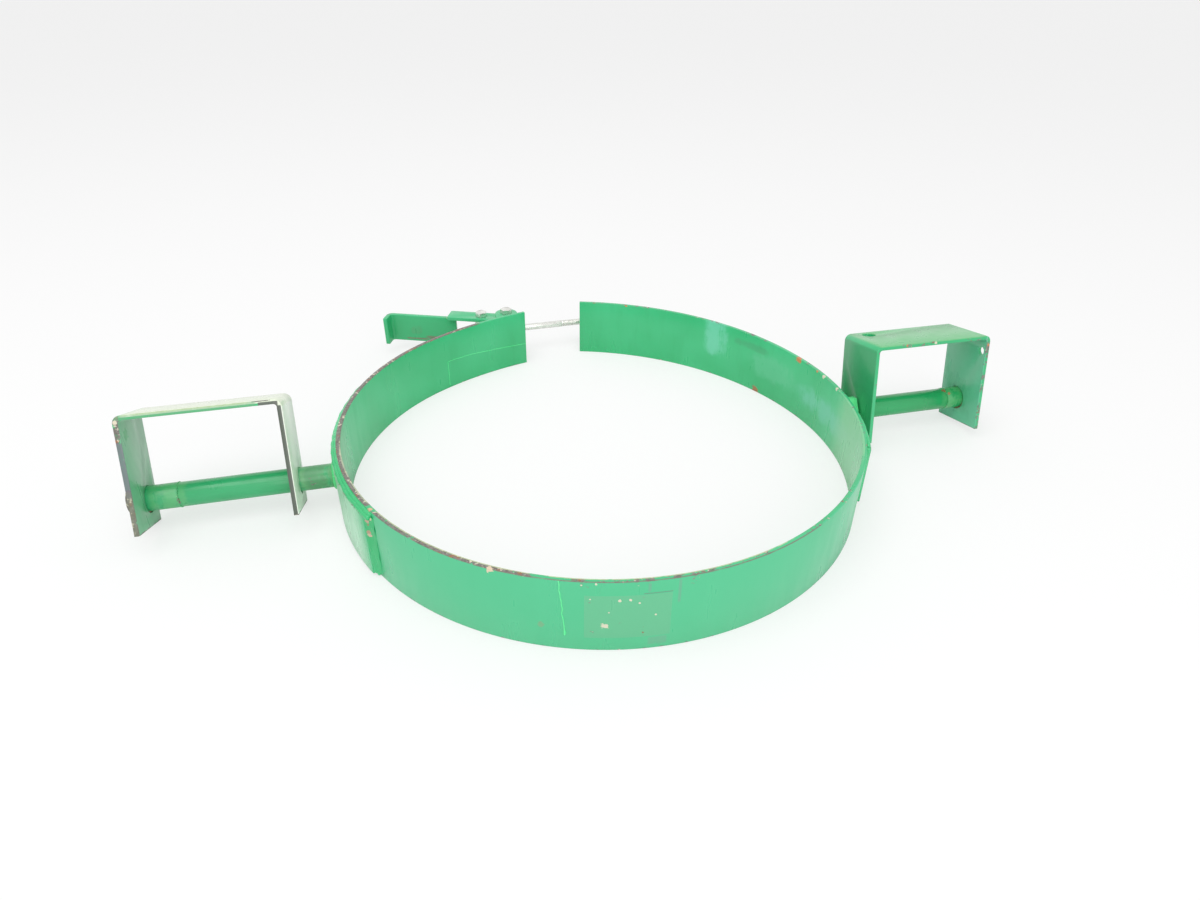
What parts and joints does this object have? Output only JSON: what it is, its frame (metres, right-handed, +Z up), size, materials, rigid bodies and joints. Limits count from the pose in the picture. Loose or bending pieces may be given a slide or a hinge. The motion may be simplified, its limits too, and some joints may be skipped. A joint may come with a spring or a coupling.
{
  "type": "drum lifter",
  "caption": "Clamp-on drum lifter: a split steel band with an over-centre draw clamp, and a fork pocket bracket swinging on a trunnion at each side.",
  "frame": {"origin": "bottom centre of the whole lifter's box at rest, on the floor; the middle of the drum ring is 50.2 mm in front of it (-Y)", "axes": "+X along the two trunnions, towards the bracket whose web has a hole; +Y towards the clamp at the back; +Z up"},
  "size_m": [1.002, 0.6819, 0.1381],
  "materials": {
    "green_paint": "worn semi-gloss green paint with chips and scratches",
    "bright_zinc": "bright zinc plate",
    "dark_steel": "bare steel, dulled"
  },
  "bodies": {
    "ring": {"ring_band": "green_paint", "left_saddle_plate": "green_paint", "right_saddle_plate": "green_paint", "left_shaft": "green_paint", "right_shaft": "green_paint", "left_shaft_sleeve": "green_paint", "right_shaft_sleeve": "green_paint", "left_end_washer": "dark_steel", "right_end_washer": "dark_steel", "left_end_pin": "dark_steel", "right_end_pin": "dark_steel", "upper_clamp_ear": "green_paint", "lower_clamp_ear": "green_paint", "upper_pivot_bolt": "bright_zinc", "lower_pivot_bolt": "bright_zinc", "upper_pivot_nut": "bright_zinc", "lower_pivot_nut": "bright_zinc", "upper_lug_rib": "green_paint", "lower_lug_rib": "green_paint"},
    "left_bracket": {"left_fork_bracket": "green_paint"},
    "right_bracket": {"right_fork_bracket": "green_paint"},
    "lever": {"upper_lever_strap": "green_paint", "lower_lever_strap": "green_paint", "lever_handle": "green_paint", "rod_bolt": "bright_zinc", "rod_bolt_washer": "bright_zinc", "rod_bolt_nut": "bright_zinc"},
    "draw_rod": {"rod_barrel": "bright_zinc", "draw_rod": "bright_zinc"},
    "tension_nuts": {"rod_washer": "bright_zinc", "tension_nut": "bright_zinc", "lock_nut": "bright_zinc"}
  },
  "joints": [
    {"name": "left_bracket_swing", "type": "hinge", "parent": "ring", "child": "left_bracket", "pos_m": [-0.41055, -0.0502, 0.0353], "axis": [1, 0, 0], "continuous": true},
    {"name": "right_bracket_swing", "type": "hinge", "parent": "ring", "child": "right_bracket", "pos_m": [0.40085, -0.0502, 0.0353], "axis": [1, 0, 0], "continuous": true},
    {"name": "lever_swing", "type": "hinge", "parent": "ring", "child": "lever", "pos_m": [-0.06051, 0.27426, 0.0353], "axis": [0, 0, -1], "range_deg": [-38, 90]},
    {"name": "rod_swing", "type": "hinge", "parent": "lever", "child": "draw_rod", "pos_m": [-0.09565, 0.28817, 0.0353], "axis": [0, 0, -1], "range_deg": [-74, 32]},
    {"name": "nut_travel", "type": "slide", "parent": "draw_rod", "child": "tension_nuts", "axis": [0.9995, 0.033, 0], "range_m": [0, 0.012]}
  ],
  "couplings": [
    {"joint": "rod_swing", "follows": "lever_swing", "ratio": -0.81}
  ]
}
